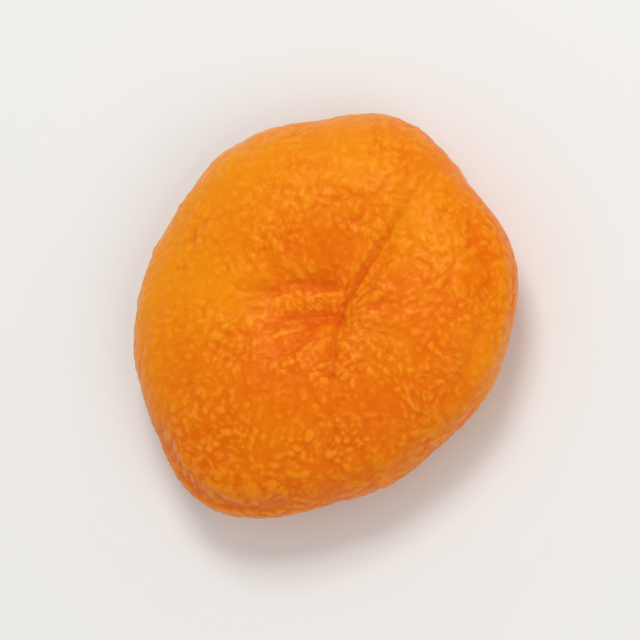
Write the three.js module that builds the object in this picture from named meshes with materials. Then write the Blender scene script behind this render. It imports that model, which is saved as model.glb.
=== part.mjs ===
// A whole dried apricot. The stone was pushed out through the stem end and the fruit was pressed flat while
// it dried, so it is one soft, leathery, cushion-like disc: the stem-end face up, the blossom-end face down.
// Millimetres. +Z leaves the stem-end face, +Y follows the suture from the stem dimple to the edge, and the
// origin is the middle of the bounding box on the surface that the fruit lies on.
import * as THREE from "three";
import { mergeVertices } from "three/addons/utils/BufferGeometryUtils.js";

// Driving dimensions.
const WIDTH = 35.5; // X, across the two cheeks
const LENGTH = 41; // Y, along the suture
const THICKNESS = 12.5; // Z, between the two faces

// The plain cushion, before any relief.
const RADIUS = 18.7;
const HALF_THICKNESS = 6.2;
const PLUMPNESS = 4.2; // 2 gives a lens with thin edges, and more gives fuller edges
const STEM_OFFSET = new THREE.Vector2(1.7, 0.3); // the stem dimple is a little off the outline's centre

// The outline from above: lobes on a circle, as a share of the radius, each towards a direction in degrees.
const OUTLINE_LOBES = [
  { count: 2, share: 0.06, towards: 78 },
  { count: 3, share: 0.03, towards: 22 },
  { count: 4, share: 0.018, towards: 2 },
  { count: 5, share: 0.005, towards: -25 },
  { count: 6, share: 0.016, towards: 29 },
  { count: 7, share: 0.008, towards: -5 },
  { count: 8, share: 0.009, towards: 1 },
];

// How the disc curled as it dried: up and down round the edge, in millimetres.
const CURLS = [
  { count: 2, lift: 0.3, towards: 60 },
  { count: 3, lift: 0.25, towards: 30 },
];

// Hollows in the middle of the two faces: how deep, and how wide as a share of the radius.
const STEM_HOLLOWS = [
  { depth: 0.7, reach: 0.55 },
  { depth: 1.0, reach: 0.15 },
];
const BLOSSOM_HOLLOWS = [
  { depth: 1.0, reach: 0.42 },
  { depth: 0.7, reach: 0.13 },
];

// Creases in the stem-end face, where the emptied fruit folded in on itself. Points are in plan. Lap is how
// much the bank on the left of the line laps over the crease: that bank is steep and the other one gentle.
const STEM_CREASES = [
  {
    points: [[3.3, -0.4], [3.1, 1.9], [3.4, 5.1], [3.8, 8.2], [4.2, 12.3], [4.6, 15.8]],
    depth: 0.65,
    width: 0.75,
    lap: 0.5,
  },
  {
    points: [[2.0, 3.0], [0.3, 2.4], [-1.7, 1.5], [-3.6, 0.0], [-5.6, -1.5], [-7.9, -2.5]],
    depth: 0.45,
    width: 0.75,
  },
  { points: [[2.9, 0.1], [1.3, -0.8], [-0.3, -1.5], [-1.7, -2.8], [-2.7, -4.6]], depth: 0.45, width: 0.75 },
  { points: [[3.0, 0.4], [3.6, -1.3], [4.5, -3.3], [5.5, -5.8], [6.2, -8.2]], depth: 0.35, width: 0.9 },
  { points: [[2.7, 0.2], [5.0, 0.0], [7.0, 0.4], [9.1, 1.5]], depth: 0.15, width: 0.9 },
  { points: [[2.0, -0.8], [0.9, -2.9], [-0.6, -5.4], [-1.6, -8.6]], depth: 0.3, width: 0.8 },
];

// Creases in the blossom-end face, which is the underside.
const BLOSSOM_CREASES = [
  { points: [[0.3, 0.2], [-0.4, 3.6], [0.1, 7.6], [0.3, 11.0]], depth: 0.8, width: 1.0 },
  { points: [[0.2, 0.1], [3.1, -1.6], [5.6, -2.2], [8.4, -4.1]], depth: 0.7, width: 0.9 },
  { points: [[0.0, 0.0], [-2.9, -1.7], [-4.6, -4.4], [-5.0, -7.6]], depth: 0.6, width: 0.9 },
  { points: [[0.1, 0.3], [-3.4, 1.4], [-6.6, 1.5], [-9.2, 2.9]], depth: 0.5, width: 0.8 },
];

// Long creases along the edge, from one direction to another in degrees, at a height from -1 to 1.
const EDGE_CREASES = [
  { from: -22, to: 72, height: 0.66, depth: 0.5, width: 0.8 },
  { from: 120, to: 205, height: -0.3, depth: 0.5, width: 0.7 },
  { from: -128, to: -58, height: 0.35, depth: 0.4, width: 0.8 },
];

// The suture where it crosses the edge, from one face to the other.
const SUTURE = { towards: 80, depth: 0.15, width: 1.4 };

// Small pleats that gather round each hollow, and puckers that cross the edge.
const STEM_PLEATS = { count: 13, depth: 0.25, at: 0.3, spread: 0.17, sway: 0.35, phase: 0.4 };
const BLOSSOM_PLEATS = { count: 9, depth: 0.4, at: 0.32, spread: 0.18, sway: 0.4, phase: 2.1 };
const EDGE_PUCKERS = { count: 13, depth: 0.2, sway: 0.5, phase: 1.1 };

// Broad dents and swellings: how deep, and how fast they roll along X and Y, in radians per millimetre.
const SWELLS = [
  { depth: 0.35, alongX: 0.19, alongY: 0.12, phase: 0.9 },
  { depth: 0.22, alongX: -0.16, alongY: 0.29, phase: 2.4 },
  { depth: 0.14, alongX: 0.42, alongY: -0.27, phase: 4.0 },
];

// Three low pads under the fruit, towards these directions in degrees, which its weight has pressed flat.
const PADS = [
  { towards: -25, drop: 0.3 },
  { towards: 85, drop: 0.25 },
  { towards: 205, drop: 0.7 },
];
const PAD_REACH = 0.6; // how far out they sit, and how big they are, as a share of the radius
const PAD_SIZE = 0.18;
const PRESSED = 0.36; // how much of their height is pressed away

const MESH_DETAIL = 19; // the ball that is shaped has 20 * (detail + 1)^2 triangles
const MESH_GATHER = 0.45; // draws the ball's rows in from the edge towards the middle of each face
const CREASE_GATHER = { share: 0.7, width: 1.2 }; // draws the mesh in towards each crease, for a sharp floor
const CREASE_STEPS = 24;
const VALLEY_FLOOR = 0.15; // the rounding at the bottom of every crease
const BANK_TURN = 0.3; // how far from the line a bank is wholly the left or the right one

const { clamp, degToRad, smoothstep } = THREE.MathUtils;
const bell = (x) => Math.exp(-x * x);
const turnBetween = (a, b) => Math.atan2(Math.sin(a - b), Math.cos(a - b));

// A sum of lobes round the circle, each 1 at its own direction.
function lobes(list, amount, angle) {
  return list.reduce((sum, lobe) => {
    return sum + lobe[amount] * Math.cos(lobe.count * (angle - degToRad(lobe.towards)));
  }, 0);
}

// The plan line of a crease as short straight steps.
function creaseLine(crease) {
  const spline = new THREE.SplineCurve(crease.points.map(([x, y]) => new THREE.Vector2(x, y)));
  return { ...crease, line: spline.getPoints(CREASE_STEPS) };
}

const stemCreases = STEM_CREASES.map(creaseLine);
const blossomCreases = BLOSSOM_CREASES.map(creaseLine);

// The nearest place on a line of steps: how far it is, how far along the line from 0 to 1, the way to it, and
// the side that the point is on, from 1 on the line's left to -1 on its right.
function nearest(line, point) {
  let found = { distance: Infinity };
  for (let i = 1; i < line.length; i++) {
    const step = line[i].clone().sub(line[i - 1]);
    const offset = point.clone().sub(line[i - 1]);
    const share = clamp(offset.dot(step) / step.lengthSq(), 0, 1);
    const side = clamp(step.cross(offset) / step.length() / BANK_TURN, -1, 1);
    const way = step.multiplyScalar(share).sub(offset);
    const distance = way.length();
    const along = (i - 1 + share) / (line.length - 1);
    if (distance < found.distance) found = { distance, along, way, side };
  }
  return found;
}

// Draws a point of the plan in towards the creases near it.
function gathered(creases, plan) {
  const shift = new THREE.Vector2();
  let total = 1e-9;
  for (const { line } of creases) {
    const { distance, way } = nearest(line, plan);
    const pull = bell(distance / CREASE_GATHER.width);
    shift.addScaledVector(way, pull * pull);
    total += pull;
  }
  return plan.clone().addScaledVector(shift, CREASE_GATHER.share / total);
}

// A crease's section: a sharp valley with a low rounded lip on each side of it.
function valley(distance, depth, width) {
  const down = Math.hypot(distance, VALLEY_FLOOR) - VALLEY_FLOOR;
  return 0.25 * depth * bell((distance - 2.2 * width) / (1.1 * width)) - depth * Math.exp(-down / width);
}

function faceCreases(creases, point) {
  let relief = 0;
  for (const { line, depth, width, lap = 0 } of creases) {
    const { distance, along, side } = nearest(line, point);
    const taper = smoothstep(along, -0.15, 0.15) * (1 - smoothstep(along, 0.55, 1));
    relief += valley(distance, depth * taper, width * (1 - lap * side));
  }
  return relief;
}

// Sharp valleys between rounded ridges, unevenly spaced round the fruit.
function pleats({ count, depth, sway, phase }, angle) {
  const swayed = angle + sway * Math.sin(2 * angle + phase) + 0.5 * sway * Math.sin(3 * angle + 2 * phase);
  const ridge = Math.abs(Math.sin((count * swayed) / 2 + phase));
  const uneven = 0.7 + 0.3 * Math.sin(2 * angle + 3 * phase);
  return -depth * uneven * (1 - ridge) ** 1.5;
}

function edgeRelief({ angle, height, radius }) {
  let relief = pleats(EDGE_PUCKERS, angle) * bell(height / 0.75);
  for (const crease of EDGE_CREASES) {
    const middle = degToRad((crease.from + crease.to) / 2);
    const half = degToRad((crease.to - crease.from) / 2);
    const taper = 1 - smoothstep(Math.abs(turnBetween(angle, middle)) / half, 0.4, 1);
    relief += valley(Math.abs(height - crease.height) * HALF_THICKNESS, crease.depth * taper, crease.width);
  }
  const across = Math.abs(turnBetween(angle, degToRad(SUTURE.towards))) * radius;
  return relief + valley(across, SUTURE.depth, SUTURE.width) * bell(height / 0.9);
}

function faceRelief({ plan, reach, angle }, hollows, creases, gathers) {
  const hollow = hollows.reduce((sum, { depth, reach: wide }) => sum - depth * bell(reach / wide), 0);
  const pleated = pleats(gathers, angle) * bell((reach - gathers.at) / gathers.spread);
  return hollow + pleated + faceCreases(creases, plan);
}

// The swellings fade towards the edge, so that they leave the outline as it is.
function swells({ plan, reach, height }) {
  const sum = SWELLS.reduce(
    (total, s) => total + s.depth * Math.sin(s.alongX * plan.x + s.alongY * plan.y + s.phase + 1.3 * height),
    0,
  );
  return sum * (1 - 0.8 * reach ** 4);
}

function pads({ reach, angle }) {
  return PADS.reduce((sum, { towards, drop }) => {
    const turn = turnBetween(angle, degToRad(towards));
    const distance = Math.hypot(reach * Math.sin(turn), reach * Math.cos(turn) - PAD_REACH);
    return sum + drop * bell(distance / PAD_SIZE);
  }, 0);
}

// Takes a point of the unit ball to the skin of the fruit.
function skinPoint(ball) {
  const tilt = Math.acos(clamp(ball.z, -1, 1));
  const reach = Math.sin(tilt - (MESH_GATHER / 2) * Math.sin(2 * tilt));
  const angle = Math.atan2(ball.y, ball.x);
  const radius = RADIUS * (1 + lobes(OUTLINE_LOBES, "share", angle));
  const height = Math.sign(ball.z) * Math.sqrt(Math.max(0, 1 - reach ** PLUMPNESS));
  const plan = new THREE.Vector2(Math.cos(angle), Math.sin(angle)).multiplyScalar(radius * reach);
  plan.addScaledVector(STEM_OFFSET, 1 - reach ** 2);
  const faceShare = smoothstep(Math.abs(height), 0, 0.45);
  plan.lerp(gathered(ball.z > 0 ? stemCreases : blossomCreases, plan), faceShare);
  const at = { plan, reach, angle, height, radius };

  const face =
    ball.z > 0
      ? faceRelief(at, STEM_HOLLOWS, stemCreases, STEM_PLEATS)
      : faceRelief(at, BLOSSOM_HOLLOWS, blossomCreases, BLOSSOM_PLEATS) + pads(at);
  const relief = edgeRelief(at) + swells(at) + faceShare * face;

  const outward = new THREE.Vector3(Math.cos(angle), Math.sin(angle), 0)
    .multiplyScalar((PLUMPNESS * reach ** (PLUMPNESS - 1)) / radius)
    .setZ((2 * height) / HALF_THICKNESS)
    .normalize();
  return new THREE.Vector3(plan.x, plan.y, height * HALF_THICKNESS + lobes(CURLS, "lift", angle) * reach ** 2)
    .addScaledVector(outward, relief);
}

// The whole fruit, pressed flat where it rests, scaled to the driving dimensions and set on its origin.
function apricotGeometry() {
  const ball = new THREE.IcosahedronGeometry(1, MESH_DETAIL);
  ball.deleteAttribute("normal");
  ball.deleteAttribute("uv");
  const geometry = mergeVertices(ball, 1e-5);
  const position = geometry.getAttribute("position");
  const point = new THREE.Vector3();
  for (let i = 0; i < position.count; i++) {
    point.fromBufferAttribute(position, i).normalize();
    position.setXYZ(i, ...skinPoint(point));
  }
  geometry.computeBoundingBox();
  const floor = geometry.boundingBox.min.z + PRESSED;
  for (let i = 0; i < position.count; i++) position.setZ(i, Math.max(position.getZ(i), floor));
  geometry.computeBoundingBox();
  const size = geometry.boundingBox.getSize(new THREE.Vector3());
  const middle = geometry.boundingBox.getCenter(new THREE.Vector3());
  geometry.translate(-middle.x, -middle.y, -floor);
  geometry.scale(WIDTH / size.x, LENGTH / size.y, THICKNESS / size.z);
  geometry.computeVertexNormals();
  return geometry;
}

const skin = new THREE.MeshStandardMaterial({ color: 0xe87a14, roughness: 0.55, metalness: 0 });

const apricot = new THREE.Mesh(apricotGeometry(), skin);
apricot.name = "apricot";

const part = new THREE.Group();
part.add(apricot);

export default part;
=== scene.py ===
import math

import bpy
import numpy as np
from mathutils import Matrix, Vector, noise


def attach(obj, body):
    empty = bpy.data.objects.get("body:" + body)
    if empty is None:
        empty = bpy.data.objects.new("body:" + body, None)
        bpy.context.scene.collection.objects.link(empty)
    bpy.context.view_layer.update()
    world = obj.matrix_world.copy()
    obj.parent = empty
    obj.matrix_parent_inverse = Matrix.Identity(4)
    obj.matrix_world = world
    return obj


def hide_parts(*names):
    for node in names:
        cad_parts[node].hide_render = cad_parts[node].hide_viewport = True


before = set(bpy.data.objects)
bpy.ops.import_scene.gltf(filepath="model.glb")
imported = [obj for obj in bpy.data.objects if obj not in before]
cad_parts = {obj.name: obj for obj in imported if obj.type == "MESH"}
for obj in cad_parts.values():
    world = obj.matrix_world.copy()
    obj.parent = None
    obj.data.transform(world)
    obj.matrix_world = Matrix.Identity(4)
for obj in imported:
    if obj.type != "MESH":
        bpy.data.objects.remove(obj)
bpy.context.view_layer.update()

# The flesh. A whole apricot, its stone pushed out through the stem end, dried in the sun until it sank into
# a soft, leathery cushion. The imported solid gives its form, divided finely enough to carry the wrinkles of
# the skin and softened, so that it turns as smoothly as flesh does.
MM = 0.001
WELD_GAP = 0.002 * MM
DIVISIONS = 2
SOFTENING = 0.5
SOFTENING_ROUNDS = 6

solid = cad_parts["apricot"]
apricot = bpy.data.objects.new("dried_apricot", solid.data.copy())
bpy.context.scene.collection.objects.link(apricot)

weld = apricot.modifiers.new("weld", "WELD")
weld.merge_threshold = WELD_GAP
divide = apricot.modifiers.new("divide", "SUBSURF")
divide.levels = divide.render_levels = DIVISIONS
soften = apricot.modifiers.new("soften", "SMOOTH")
soften.factor = SOFTENING
soften.iterations = SOFTENING_ROUNDS
flesh = bpy.data.meshes.new_from_object(apricot.evaluated_get(bpy.context.evaluated_depsgraph_get()))
flesh.name = "dried_apricot"
apricot.modifiers.clear()
apricot.data = flesh

count = len(flesh.vertices)
points = np.empty(count * 3)
flesh.vertices.foreach_get("co", points)
points = points.reshape(-1, 3) / MM  # in millimetres until outward puts them back into the mesh
edges = np.empty(len(flesh.edges) * 2, dtype=np.int64)
flesh.edges.foreach_get("vertices", edges)
edges = edges.reshape(-1, 2)
neighbours = np.bincount(edges.ravel(), minlength=count)


def spread(values, rounds):
    """values, one row for each point of the skin, evened out with its neighbours for this many rounds."""
    for _ in range(rounds):
        totals = [
            np.bincount(edges[:, 0], column[edges[:, 1]], count)
            + np.bincount(edges[:, 1], column[edges[:, 0]], count)
            for column in values.T
        ]
        values = 0.5 * values + 0.5 * np.stack(totals, axis=1) / neighbours[:, None]
    return values


def outward(at):
    """Puts the mesh's points at these places and gives the outward direction of the skin at each."""
    flesh.vertices.foreach_set("co", (at * MM).ravel())
    flesh.update()
    normals = np.empty(count * 3, dtype=np.float32)
    flesh.vertex_normals.foreach_get("vector", normals)
    return normals.reshape(-1, 3).astype(float)


# The creases. The emptied flesh folded in on itself as it shrank, and the folds closed to sharp, dark lines:
# one along the suture, a lip beside the stem dimple, and pleats round both dimples. They run where the
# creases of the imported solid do, and each is pressed a little deeper along its floor.
STEM_CREASES = [  # points in plan, depth and half width, in millimetres
    ([(3.3, -0.4), (3.1, 1.9), (3.4, 5.1), (3.8, 8.2), (4.2, 12.3), (4.6, 15.8), (4.8, 18.6)], 0.17, 0.18),
    ([(2.0, 3.0), (0.3, 2.4), (-1.7, 1.5), (-3.6, 0.0), (-5.6, -1.5), (-7.9, -2.5)], 0.14, 0.22),
    ([(2.9, 0.1), (1.3, -0.8), (-0.3, -1.5), (-1.7, -2.8), (-2.7, -4.6)], 0.14, 0.22),
    ([(3.0, 0.4), (3.6, -1.3), (4.5, -3.3), (5.5, -5.8), (6.2, -8.2)], 0.12, 0.22),
    ([(2.7, 0.2), (5.0, 0.0), (7.0, 0.4), (9.1, 1.5)], 0.06, 0.22),
    ([(2.0, -0.8), (0.9, -2.9), (-0.6, -5.4), (-1.6, -8.6)], 0.09, 0.2),
]
BLOSSOM_CREASES = [
    ([(0.3, 0.2), (-0.4, 3.6), (0.1, 7.6), (0.3, 11.0)], 0.26, 0.24),
    ([(0.2, 0.1), (3.1, -1.6), (5.6, -2.2), (8.4, -4.1)], 0.22, 0.22),
    ([(0.0, 0.0), (-2.9, -1.7), (-4.6, -4.4), (-5.0, -7.6)], 0.2, 0.22),
    ([(0.1, 0.3), (-3.4, 1.4), (-6.6, 1.5), (-9.2, 2.9)], 0.18, 0.22),
]
CREASE_STEPS = 10
FACING = (0.2, 0.6)  # how far the skin has to face up, or down, before a crease starts and where it is full
FADE_IN = (-0.1, 0.12)  # shares of a crease's length
FADE_OUT = (0.5, 1.0)


def crease_line(corners):
    """A smooth line through the corners, as short straight steps."""
    stops = [np.array(corner, dtype=float) for corner in (corners[0], *corners, corners[-1])]
    line = []
    for a, b, c, d in zip(stops, stops[1:], stops[2:], stops[3:]):
        for t in np.arange(CREASE_STEPS) / CREASE_STEPS:
            straight = 2 * b + (c - a) * t
            bent = (2 * a - 5 * b + 4 * c - d) * t**2 + (3 * b - a - 3 * c + d) * t**3
            line.append(0.5 * (straight + bent))
    line.append(stops[-1])
    return np.array(line)


def along_line(line, at):
    """How far each point of the skin is from the line in plan, and how far along the line from 0 to 1."""
    distance = np.full(len(at), np.inf)
    along = np.zeros(len(at))
    for i in range(len(line) - 1):
        step = line[i + 1] - line[i]
        share = np.clip((at - line[i]) @ step / (step @ step), 0, 1)
        gap = np.linalg.norm(at - line[i] - share[:, None] * step, axis=1)
        nearer = gap < distance
        distance[nearer] = gap[nearer]
        along[nearer] = ((i + share) / (len(line) - 1))[nearer]
    return distance, along


def rise(value, low, high):
    """0 below low and 1 above high, with a smooth step between."""
    share = np.clip((value - low) / (high - low), 0, 1)
    return share * share * (3 - 2 * share)


normals = outward(points)
crease_depth = np.zeros(count)
for creases, side in ((STEM_CREASES, 1), (BLOSSOM_CREASES, -1)):
    on_face = rise(side * normals[:, 2], *FACING)
    for corners, depth, half_width in creases:
        distance, along = along_line(crease_line(corners), points[:, :2])
        taper = rise(along, *FADE_IN) * (1 - rise(along, *FADE_OUT))
        crease_depth += on_face * taper * depth * np.exp(-distance / half_width)
points -= normals * crease_depth[:, None]

# The wrinkles. The skin grew round a bigger fruit than the dried one, so it stands in soft fine ridges with
# narrow valleys between them: in lines round the edge, gathered towards the two dimples, and elsewhere like
# pebbled leather, strong in some patches and faint in others. Sizes are in millimetres.
STEM_DIMPLE = (2.5, 0.1)
BLOSSOM_DIMPLE = (0.2, 0.1)
WANDER = {"by": 0.6, "apart": 2.6, "shifts": (11.0, 37.0, 61.0)}  # bends the lines of the relief
DENTS = {"height": 0.12, "apart": 5.5, "shift": 5.0}
PATCHES = {"apart": 3.8, "shift": 71.0, "between": (-0.3, 0.4), "faint": 0.45, "added": 0.8}
LEATHER = [
    {"height": 0.1, "apart": 2.3, "patchy": 0.0},
    {"height": 0.14, "apart": 1.1, "patchy": 0.5},
    {"height": 0.075, "apart": 0.6, "patchy": 1.0},
]
EDGE_WRINKLES = {"height": 0.17, "apart": 1.5, "long": 5.0, "radius": 17.0, "climb": 0.9}
EDGE_BAND = (9.0, 16.0)  # distances from the middle over which the edge wrinkles set in
GATHERS = {"height": 0.112, "apart": 1.0, "long": 4.5, "radius": 5.5, "bend": 0.25}
GATHERS_START = (1.0, 3.0)  # distances from the dimple
GATHERS_END = (6.0, 11.0)
GATHERS_FACING = (0.35, 0.9)  # how far the skin has to face up or down for them
UNDERSIDE_SHIFT = 40.0  # keeps the gathers below from repeating those above
PEBBLES = {"height": 0.09, "apart": 0.75, "dome": 1.6, "wander": 0.7}
STRAY = {"by": 0.16, "apart": 0.7, "shifts": (3.0, 23.0, 43.0)}  # makes each pebble's outline uneven
PRESSED = (0.02, 0.3)  # heights between which the skin is less and less pressed by what the fruit lies on
PRESSED_SMOOTH = 0.85
CREASE_FLOOR = 0.12  # a crease deeper than this has its floor rounded in full
CREASE_ROUNDS = 2
HOLLOWS = {  # rounds that even them out, and the depth that counts as full
    "fine_groove": (6, 0.03),
    "groove": (40, 0.12),
    "fold": (400, 0.6),
}
STEM_STAIN = 6.0  # how far from the stem dimple the skin stays redder


def noise_at(at):
    """Smooth noise between -1 and 1 at each row of at."""
    return np.array([noise.noise(row) for row in at.tolist()])


def noise_along(at, noise_kind):
    """Noise of its own in each of three directions."""
    return np.stack([noise_at(at / noise_kind["apart"] + shift) for shift in noise_kind["shifts"]], axis=1)


def ridges(at):
    """Rounded ridges with narrow valleys between them, from 0 to about 1."""
    valley = 0.1
    return np.sqrt(np.abs(noise_at(at)) + valley**2) - valley


def round_turn(radius):
    """A circle's points at the angle of each point of the skin, so that the relief closes on itself."""
    return np.stack([np.cos(angle), np.sin(angle)], axis=1) * radius


normals = outward(points)
wander = WANDER["by"] * noise_along(points, WANDER)
upper = normals[:, 2] > 0
dimple = np.where(upper[:, None], STEM_DIMPLE, BLOSSOM_DIMPLE)
from_dimple = points[:, :2] - dimple
reach = np.linalg.norm(from_dimple, axis=1)
angle = np.arctan2(from_dimple[:, 1], from_dimple[:, 0])
round_dimple = rise(reach, *GATHERS_START) * (1 - rise(reach, *GATHERS_END))
round_dimple *= rise(np.abs(normals[:, 2]), *GATHERS_FACING)

relief = DENTS["height"] * noise_at(points / DENTS["apart"] + DENTS["shift"])
patches = rise(noise_at(points / PATCHES["apart"] + PATCHES["shift"]), *PATCHES["between"])
patches = PATCHES["faint"] + PATCHES["added"] * patches
bent = points + wander
for wrinkle in LEATHER:
    leather = ridges(bent / wrinkle["apart"]) - 0.5
    relief += wrinkle["height"] * patches ** wrinkle["patchy"] * leather

over_edge = np.hypot(bent[:, 0], bent[:, 1]) + EDGE_WRINKLES["climb"] * bent[:, 2]
along_edge = round_turn(EDGE_WRINKLES["radius"]) / EDGE_WRINKLES["long"]
edge_lines = np.column_stack([along_edge, over_edge / EDGE_WRINKLES["apart"]])
near_edge = rise(np.linalg.norm(points[:, :2], axis=1), *EDGE_BAND)
relief += EDGE_WRINKLES["height"] * near_edge * (ridges(edge_lines) - 0.5)

spokes = round_turn(GATHERS["radius"]) / GATHERS["apart"] + GATHERS["bend"] * wander[:, :2]
gather_lines = np.column_stack([spokes, reach / GATHERS["long"] + UNDERSIDE_SHIFT * ~upper])
relief += GATHERS["height"] * round_dimple * (ridges(gather_lines) - 0.5)

strayed = points + PEBBLES["wander"] * wander + STRAY["by"] * noise_along(points, STRAY)
nearest_pebble = np.array([noise.voronoi(row)[0][0] for row in (strayed / PEBBLES["apart"]).tolist()])
relief += PEBBLES["height"] * patches * (1 - PEBBLES["dome"] * nearest_pebble**2)

relief -= relief.mean()
pressed = 1 - rise(points[:, 2], *PRESSED)
points += normals * (relief * (1 - PRESSED_SMOOTH * pressed))[:, None]
in_crease = np.clip(crease_depth / CREASE_FLOOR, 0, 1)[:, None]
points += in_crease * (spread(points, CREASE_ROUNDS) - points)
points[:, 2] = np.maximum(points[:, 2], 0.0)
normals = outward(points)

depths = {}
evened = points
for name, (rounds, full_depth) in HOLLOWS.items():
    evened = spread(evened, rounds)
    depths[name] = ((evened - points) * normals).sum(axis=1) / full_depth
depths["round_stem"] = np.exp(-((reach / STEM_STAIN) ** 2))
for name, values in depths.items():
    layer = flesh.attributes.new(name, "FLOAT", "POINT")
    layer.data.foreach_set("value", np.clip(values, -1, 1).astype(np.float32))

flesh.polygons.foreach_set("use_smooth", [True] * len(flesh.polygons))

# The skin. Thin, velvety and slightly see-through over moist flesh: light goes in and comes back a deeper
# orange, and there is a soft satin shine with no hard gloss. The ridges are painted paler as painted light,
# the grooves and folds darker red as painted shade, one side yellower and the other redder as painted light
# and shade, and the pale flecks and bump tops are painted highlights.
skin = bpy.data.materials.new("apricot_skin")
skin.use_nodes = True
nodes = skin.node_tree.nodes
links = skin.node_tree.links
shader = nodes["Principled BSDF"]
shader.inputs["Subsurface Weight"].default_value = 0.55
shader.inputs["Subsurface Radius"].default_value = (1.0, 0.32, 0.06)
shader.inputs["Subsurface Scale"].default_value = 1.8 * MM
shader.inputs["Specular IOR Level"].default_value = 0.45
shader.inputs["Specular Tint"].default_value = (1.0, 0.5, 0.16, 1)
shader.inputs["IOR"].default_value = 1.45
shader.inputs["Sheen Weight"].default_value = 0.1
shader.inputs["Sheen Roughness"].default_value = 0.25
shader.inputs["Sheen Tint"].default_value = (1.0, 0.65, 0.35, 1)

ORANGE = (0.79, 0.145, 0.0005, 1)
AMBER = (0.85, 0.30, 0.0005, 1)
RUST = (0.71, 0.08, 0.0005, 1)
# painted highlight: the pale peach of glints on the skin's bumps
PAINTED_HIGHLIGHT = (0.94, 0.35, 0.03, 1)

PAINTED_LIT_SIDE = math.radians(180)  # painted light: this side is tinted yellower, as if lit more
# painted shade: this side is tinted darker red, as if turned from the light
PAINTED_SHADE_SIDE = math.radians(285)
EDGE_RADIUS = 19 * MM

CLOUDS = {"scale": 110, "detail": 3}  # scales are in swellings per metre
BLOTCHES = {"scale": 190, "detail": 4}
# painted highlights: pale flecks that stand in for glints of shine
HIGHLIGHT_FLECKS = {"scale": 1400, "detail": 2}
DAMP_SPOTS = {"scale": 420, "detail": 3}  # where the shine is a little stronger
VELVET = {"scale": 2600, "detail": 3, "roughness": 0.6}
VELVET_HEIGHT = 0.05 * MM

place = nodes.new("ShaderNodeTexCoord").outputs["Object"]


def noise_texture(scale, detail, roughness=0.5):
    """Smooth noise that stays in place on the fruit."""
    texture = nodes.new("ShaderNodeTexNoise")
    texture.inputs["Scale"].default_value = scale
    texture.inputs["Detail"].default_value = detail
    texture.inputs["Roughness"].default_value = roughness
    links.new(place, texture.inputs["Vector"])
    return texture.outputs["Fac"]


def towards(bearing):
    """How far a point lies towards a compass bearing in plan, 1 being the fruit's edge."""
    node = nodes.new("ShaderNodeVectorMath")
    node.operation = "DOT_PRODUCT"
    links.new(place, node.inputs[0])
    node.inputs[1].default_value = (math.cos(bearing) / EDGE_RADIUS, math.sin(bearing) / EDGE_RADIUS, 0)
    return node.outputs["Value"]


def attribute(name):
    """The value that the wrinkles left at each point of the skin under this name."""
    node = nodes.new("ShaderNodeAttribute")
    node.attribute_name = name
    return node.outputs["Fac"]


def ranged(value, low, high, out_low, out_high):
    """Goes smoothly from out_low to out_high while the value goes from low to high."""
    node = nodes.new("ShaderNodeMapRange")
    node.interpolation_type = "SMOOTHSTEP"
    links.new(value, node.inputs["Value"])
    for name, number in (("From Min", low), ("From Max", high), ("To Min", out_low), ("To Max", out_high)):
        node.inputs[name].default_value = number
    return node.outputs["Result"]


def tinted(base, tint, share):
    """The base colour with this share of the tint in it."""
    node = nodes.new("ShaderNodeMix")
    node.data_type = "RGBA"
    for source, socket in ((share, node.inputs[0]), (base, node.inputs[6]), (tint, node.inputs[7])):
        if isinstance(source, tuple):
            socket.default_value = source
        else:
            links.new(source, socket)
    return node.outputs[2]


colour = tinted(ORANGE, AMBER, ranged(noise_texture(**CLOUDS), 0.3, 0.75, 0.1, 0.7))
# Painted light on one side and painted shade on the other: yellower towards the lit side, darker red towards
# the shaded side.
colour = tinted(colour, AMBER, ranged(towards(PAINTED_LIT_SIDE), 0.0, 1.0, 0, 0.75))
colour = tinted(colour, RUST, ranged(towards(PAINTED_SHADE_SIDE), -0.1, 0.9, 0, 0.45))
colour = tinted(colour, RUST, ranged(attribute("round_stem"), 0.0, 1.0, 0, 0.5))
colour = tinted(colour, RUST, ranged(noise_texture(**BLOTCHES), 0.55, 0.8, 0, 0.12))
# Painted light and shade: raised ridges are tinted lighter, and grooves and broad folds darker red, as if
# shaded.
colour = tinted(colour, AMBER, ranged(attribute("groove"), 0.0, -0.8, 0, 0.45))
colour = tinted(colour, RUST, ranged(attribute("groove"), 0.05, 0.9, 0, 0.35))
colour = tinted(colour, RUST, ranged(attribute("fold"), 0.1, 1.0, 0, 0.5))
# Painted highlights: the tops of the fine bumps and scattered flecks are tinted pale, in place of glints of
# shine.
colour = tinted(colour, PAINTED_HIGHLIGHT, ranged(attribute("fine_groove"), -0.15, -1.0, 0, 0.25))
colour = tinted(colour, PAINTED_HIGHLIGHT, ranged(noise_texture(**HIGHLIGHT_FLECKS), 0.52, 0.78, 0, 0.2))
links.new(colour, shader.inputs["Base Color"])
links.new(ranged(noise_texture(**DAMP_SPOTS), 0.3, 0.7, 0.28, 0.46), shader.inputs["Roughness"])

velvet = nodes.new("ShaderNodeBump")
velvet.inputs["Strength"].default_value = 0.8
velvet.inputs["Distance"].default_value = VELVET_HEIGHT
links.new(noise_texture(**VELVET), velvet.inputs["Height"])
links.new(velvet.outputs["Normal"], shader.inputs["Normal"])

flesh.materials.clear()
flesh.materials.append(skin)
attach(apricot, "root")
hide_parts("apricot")

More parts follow.
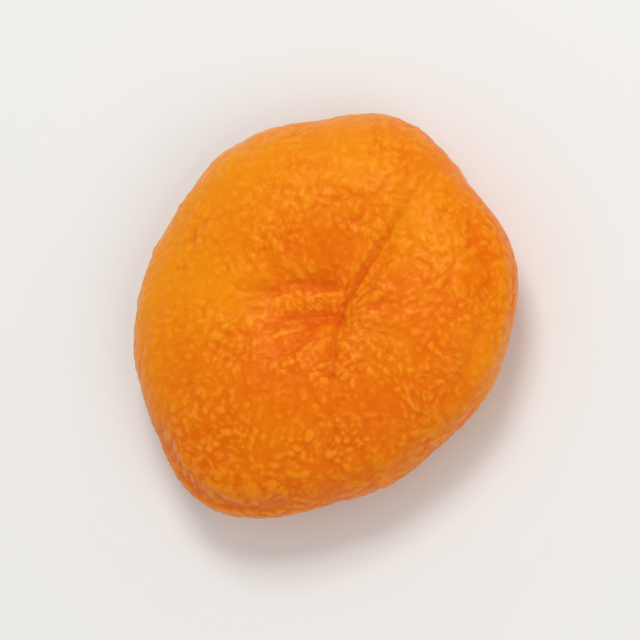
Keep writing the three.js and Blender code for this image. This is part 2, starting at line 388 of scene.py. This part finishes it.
# The table. A plain top with a pale matt coat, far wider than the picture. The fruit lies on it, held by
# nothing but its own weight on the three pressed pads below.
TABLE_SIZE = 3.0
MATT_WHITE = (0.82, 0.815, 0.8, 1)
table_mesh = bpy.data.meshes.new("table")
half = TABLE_SIZE / 2
corners = [(-half, -half, 0), (half, -half, 0), (half, half, 0), (-half, half, 0)]
table_mesh.from_pydata(corners, [], [(0, 1, 2, 3)])
table = bpy.data.objects.new("table", table_mesh)
bpy.context.scene.collection.objects.link(table)
matt = bpy.data.materials.new("matt_white")
matt.use_nodes = True
matt.node_tree.nodes["Principled BSDF"].inputs["Base Color"].default_value = MATT_WHITE
matt.node_tree.nodes["Principled BSDF"].inputs["Roughness"].default_value = 0.8
table_mesh.materials.append(matt)

# The light. A soft window-like source from the top of the picture, a weaker and wider one from its lower
# right that lifts the rim on that side, and pale walls all round.
MIDDLE = Vector((0, 0, 6 * MM))
LIGHT_DISTANCE = 0.5
WALL_WHITE = (1.0, 0.99, 0.97, 1)
WALL_STRENGTH = 0.56


def soft_light(name, bearing, height, size, watts):
    """A square light that shines on the fruit from a bearing in plan and a height, both in degrees."""
    lamp = bpy.data.lights.new(name, "AREA")
    lamp.size = size
    lamp.energy = watts
    holder = bpy.data.objects.new(name, lamp)
    bearing, height = math.radians(bearing), math.radians(height)
    level = math.cos(height)
    way = Vector((math.cos(bearing) * level, math.sin(bearing) * level, math.sin(height)))
    holder.location = MIDDLE + LIGHT_DISTANCE * way
    holder.rotation_euler = (-way).to_track_quat("-Z", "Y").to_euler()
    bpy.context.scene.collection.objects.link(holder)


soft_light("window", bearing=116, height=60, size=0.18, watts=1.06)
soft_light("far_wall", bearing=-10, height=50, size=0.3, watts=0.5)
walls = bpy.data.worlds.new("walls")
walls.use_nodes = True
walls.node_tree.nodes["Background"].inputs["Color"].default_value = WALL_WHITE
walls.node_tree.nodes["Background"].inputs["Strength"].default_value = WALL_STRENGTH
bpy.context.scene.world = walls
bpy.context.scene.view_settings.view_transform = "Standard"

# The camera. It looks down on the fruit's face, about 17 degrees off square, with the suture towards one
# o'clock. It stands well back with a long lens, so that the rim isn't stretched.
LEAN = math.radians(17)
LEAN_BEARING = math.radians(-14)
UP_BEARING = math.radians(116)
CAMERA_DISTANCE = 0.36
LENS = 215
level = math.sin(LEAN)
back = Vector((level * math.cos(LEAN_BEARING), level * math.sin(LEAN_BEARING), math.cos(LEAN)))
across_picture = Vector((math.cos(UP_BEARING), math.sin(UP_BEARING), 0)).cross(back).normalized()
view = bpy.data.cameras.new("view")
view.lens = LENS
camera = bpy.data.objects.new("view", view)
camera.matrix_world = Matrix.Translation(MIDDLE + CAMERA_DISTANCE * back) @ Matrix(
    (across_picture, back.cross(across_picture), back)
).transposed().to_4x4()
bpy.context.scene.collection.objects.link(camera)
bpy.context.scene.camera = camera
